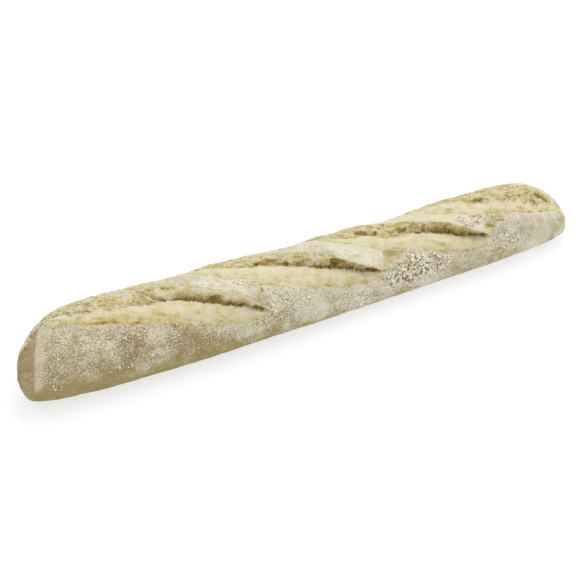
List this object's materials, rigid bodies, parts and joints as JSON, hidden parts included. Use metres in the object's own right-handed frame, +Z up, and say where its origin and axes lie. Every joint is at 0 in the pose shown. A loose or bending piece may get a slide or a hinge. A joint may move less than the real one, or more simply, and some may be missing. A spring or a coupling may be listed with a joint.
{
  "type": "ciabatta stick loaf",
  "caption": "Long, pale, part-baked ciabatta stick with slanting cuts, lifted crust edges, torn airy crumb and a dusting of flour.",
  "frame": {"origin": "centre of the loaf's footprint, on the surface that it rests on", "axes": "+X along the loaf, towards its squarer and lower end; +Y towards its far side, where the cuts start; +Z up"},
  "size_m": [0.5006, 0.082, 0.0528],
  "materials": {
    "floured_crust": "matte pale crust, part-baked, dusted with white flour"
  },
  "bodies": {
    "root": {"loaf": "floured_crust"}
  },
  "joints": []
}
